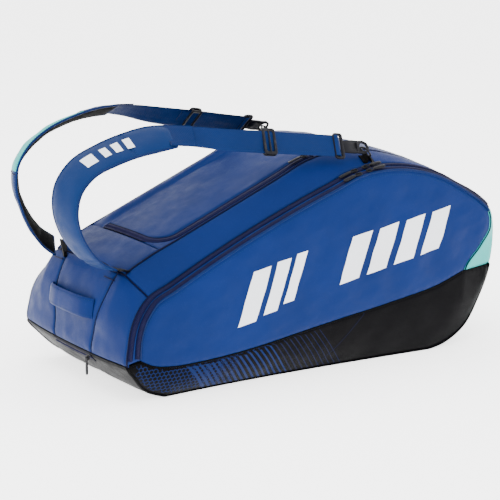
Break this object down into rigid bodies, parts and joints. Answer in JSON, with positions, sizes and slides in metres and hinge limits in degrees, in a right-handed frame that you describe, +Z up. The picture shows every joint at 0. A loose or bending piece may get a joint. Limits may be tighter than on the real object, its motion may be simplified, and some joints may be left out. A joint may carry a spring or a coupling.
{
  "type": "racket tournament bag",
  "caption": "Large padded racket bag with two zipped side compartments, a main compartment, a top pocket, a grab handle and two shoulder straps.",
  "frame": {"origin": "centre of the flat base, on the floor", "axes": "+X from the narrow handle end to the wide head end, +Z up, -Y the right-hand side"},
  "size_m": [0.8311, 0.3608, 0.4411],
  "materials": {
    "blue_fabric": "coated woven polyester, satin",
    "turquoise_fabric": "coated woven polyester, satin",
    "black_fabric": "coated woven polyester, satin",
    "lining": "thin lining, matte",
    "webbing": "woven strap",
    "strap_foam": "padded strap, satin",
    "coil": "nylon coil zip",
    "hardware": "gunmetal",
    "board": "stiffener board"
  },
  "bodies": {
    "bag": {"base_panel": "black_fabric", "base_board": "board", "narrow_underside": "black_fabric", "head_lower_panel": "black_fabric", "head_accent_panel": "turquoise_fabric", "end_cap_centre": "blue_fabric", "end_cap_right": "blue_fabric", "end_cap_left": "blue_fabric", "top_narrow_panel": "blue_fabric", "top_head_panel": "blue_fabric", "top_border_right": "blue_fabric", "top_border_left": "blue_fabric", "pocket_tray": "lining", "pocket_zip": "coil", "gusset_right": "blue_fabric", "gusset_left": "blue_fabric", "black_side_right": "black_fabric", "black_side_left": "black_fabric", "side_lower_right": "blue_fabric", "side_lower_left": "blue_fabric", "zip_end_tabs": "blue_fabric", "vent_zip": "coil", "strap_bases": "black_fabric", "ring_tabs": "black_fabric", "d_rings": "hardware"},
    "leaf_right": {"zip_strip_right": "blue_fabric", "divider_right": "lining", "main_zip_right": "coil", "side_zip_right": "coil"},
    "cover_right": {"side_cover_right": "blue_fabric"},
    "leaf_left": {"zip_strip_left": "blue_fabric", "divider_left": "lining", "main_zip_left": "coil", "side_zip_left": "coil"},
    "cover_left": {"side_cover_left": "blue_fabric"},
    "main_slider_narrow_right": {"main_slider_narrow_right": "hardware"},
    "main_slider_head_right": {"main_slider_head_right": "hardware"},
    "main_puller_narrow_right": {"main_puller_narrow_right": "hardware"},
    "main_puller_head_right": {"main_puller_head_right": "hardware"},
    "main_slider_left": {"main_slider_left": "hardware"},
    "main_puller_left": {"main_puller_left": "hardware"},
    "side_slider_narrow_right": {"side_slider_narrow_right": "hardware"},
    "side_slider_head_right": {"side_slider_head_right": "hardware"},
    "side_puller_narrow_right": {"side_puller_narrow_right": "hardware"},
    "side_puller_head_right": {"side_puller_head_right": "hardware"},
    "side_slider_left": {"side_slider_left": "hardware"},
    "side_puller_left": {"side_puller_left": "hardware"},
    "lid": {"pocket_lid": "blue_fabric"},
    "pocket_slider": {"pocket_slider": "hardware"},
    "pocket_puller": {"pocket_puller": "hardware"},
    "vent_puller": {"vent_puller": "hardware"},
    "handle": {"grab_handle": "webbing"},
    "strap_right": {"strap_pad_right": "strap_foam", "strap_webbing_right": "webbing", "strap_hook_right": "hardware"},
    "tri_glide_right": {"tri_glide_right": "hardware"},
    "strap_left": {"strap_pad_left": "strap_foam", "strap_webbing_left": "webbing", "strap_hook_left": "hardware"},
    "tri_glide_left": {"tri_glide_left": "hardware"}
  },
  "joints": [
    {"name": "main_compartment_right", "type": "hinge", "parent": "bag", "child": "leaf_right", "pos_m": [-0.33531, -0.179, 0.07285], "axis": [0.973, 0, 0.2307], "range_deg": [0, 25]},
    {"name": "side_compartment_right", "type": "hinge", "parent": "leaf_right", "child": "cover_right", "pos_m": [-0.33531, -0.179, 0.07285], "axis": [0.973, 0, 0.2307], "range_deg": [0, 35]},
    {"name": "main_compartment_left", "type": "hinge", "parent": "bag", "child": "leaf_left", "pos_m": [-0.33531, 0.179, 0.07285], "axis": [-0.973, 0, -0.2307], "range_deg": [0, 25]},
    {"name": "side_compartment_left", "type": "hinge", "parent": "leaf_left", "child": "cover_left", "pos_m": [-0.33531, 0.179, 0.07285], "axis": [-0.973, 0, -0.2307], "range_deg": [0, 35]},
    {"name": "main_zip_narrow_right", "type": "hinge", "parent": "leaf_right", "child": "main_slider_narrow_right", "pos_m": [0.85375, -0.17, -2.01921], "axis": [0, -1, 0], "range_deg": [0, 6.6]},
    {"name": "main_puller_narrow_right_swing", "type": "hinge", "parent": "main_slider_narrow_right", "child": "main_puller_narrow_right", "pos_m": [0.08004, -0.16409, 0.33497], "axis": [-0.1067, 0.9398, 0.3247], "range_deg": [0, 100]},
    {"name": "main_zip_head_right", "type": "hinge", "parent": "leaf_right", "child": "main_slider_head_right", "pos_m": [0.137, -0.17, 0.034], "axis": [0, 1, 0], "range_deg": [0, 34]},
    {"name": "main_puller_head_right_swing", "type": "hinge", "parent": "main_slider_head_right", "child": "main_puller_head_right", "pos_m": [0.10052, -0.16409, 0.33989], "axis": [0.0405, -0.9398, -0.3393], "range_deg": [0, 100]},
    {"name": "main_zip_left", "type": "hinge", "parent": "leaf_left", "child": "main_slider_left", "pos_m": [0.85375, 0.17, -2.01921], "axis": [0, -1, 0], "range_deg": [0, 6.6]},
    {"name": "main_puller_left_swing", "type": "hinge", "parent": "main_slider_left", "child": "main_puller_left", "pos_m": [0.08004, 0.16409, 0.33497], "axis": [0.1067, 0.9398, -0.3247], "range_deg": [0, 100]},
    {"name": "side_zip_narrow_right", "type": "hinge", "parent": "leaf_right", "child": "side_slider_narrow_right", "pos_m": [0.85375, -0.17, -2.01921], "axis": [0, -1, 0], "range_deg": [0, 6.6]},
    {"name": "side_puller_narrow_right_swing", "type": "hinge", "parent": "side_slider_narrow_right", "child": "side_puller_narrow_right", "pos_m": [0.08134, -0.17553, 0.33102], "axis": [-0.1067, 0.9398, 0.3247], "range_deg": [0, 100]},
    {"name": "side_zip_head_right", "type": "hinge", "parent": "leaf_right", "child": "side_slider_head_right", "pos_m": [0.137, -0.17, 0.034], "axis": [0, 1, 0], "range_deg": [0, 34]},
    {"name": "side_puller_head_right_swing", "type": "hinge", "parent": "side_slider_head_right", "child": "side_puller_head_right", "pos_m": [0.10102, -0.17553, 0.33576], "axis": [0.0405, -0.9398, -0.3393], "range_deg": [0, 100]},
    {"name": "side_zip_left", "type": "hinge", "parent": "leaf_left", "child": "side_slider_left", "pos_m": [0.85375, 0.17, -2.01921], "axis": [0, -1, 0], "range_deg": [0, 6.6]},
    {"name": "side_puller_left_swing", "type": "hinge", "parent": "side_slider_left", "child": "side_puller_left", "pos_m": [0.08134, 0.17553, 0.33102], "axis": [0.1067, 0.9398, -0.3247], "range_deg": [0, 100]},
    {"name": "pocket_lid_hinge", "type": "hinge", "parent": "bag", "child": "lid", "pos_m": [-0.26602, 0.0747, 0.2333], "axis": [-0.9203, 0, -0.3911], "range_deg": [0, 60]},
    {"name": "pocket_zip_slide", "type": "slide", "parent": "bag", "child": "pocket_slider", "axis": [-0.9203, 0, -0.3911], "range_m": [0, 0.27]},
    {"name": "pocket_puller_swing", "type": "hinge", "parent": "pocket_slider", "child": "pocket_puller", "pos_m": [0.01702, -0.107, 0.35796], "axis": [0, 1, 0], "range_deg": [0, 100]},
    {"name": "vent_puller_swing", "type": "hinge", "parent": "bag", "child": "vent_puller", "pos_m": [-0.36985, -0.062, 0.05791], "axis": [0, 1, 0], "range_deg": [0, 100]},
    {"name": "grab_handle_hinge", "type": "hinge", "parent": "bag", "child": "handle", "pos_m": [-0.364, 0, 0.157], "axis": [0, 1, 0], "range_deg": [0, 80]},
    {"name": "shoulder_strap_right", "type": "hinge", "parent": "bag", "child": "strap_right", "pos_m": [-0.331, -0.1, 0.205], "axis": [0.9316, -0.1054, 0.348], "range_deg": [-5, 40]},
    {"name": "tri_glide_right_slide", "type": "slide", "parent": "strap_right", "child": "tri_glide_right", "axis": [0.9885, -0.0871, -0.1233], "range_m": [-0.05, 0.05]},
    {"name": "shoulder_strap_left", "type": "hinge", "parent": "bag", "child": "strap_left", "pos_m": [-0.33, 0.088, 0.204], "axis": [-0.9274, -0.1449, -0.3449], "range_deg": [-2, 40]},
    {"name": "tri_glide_left_slide", "type": "slide", "parent": "strap_left", "child": "tri_glide_left", "axis": [0.9743, 0.1413, -0.1754], "range_m": [-0.05, 0.05]}
  ]
}
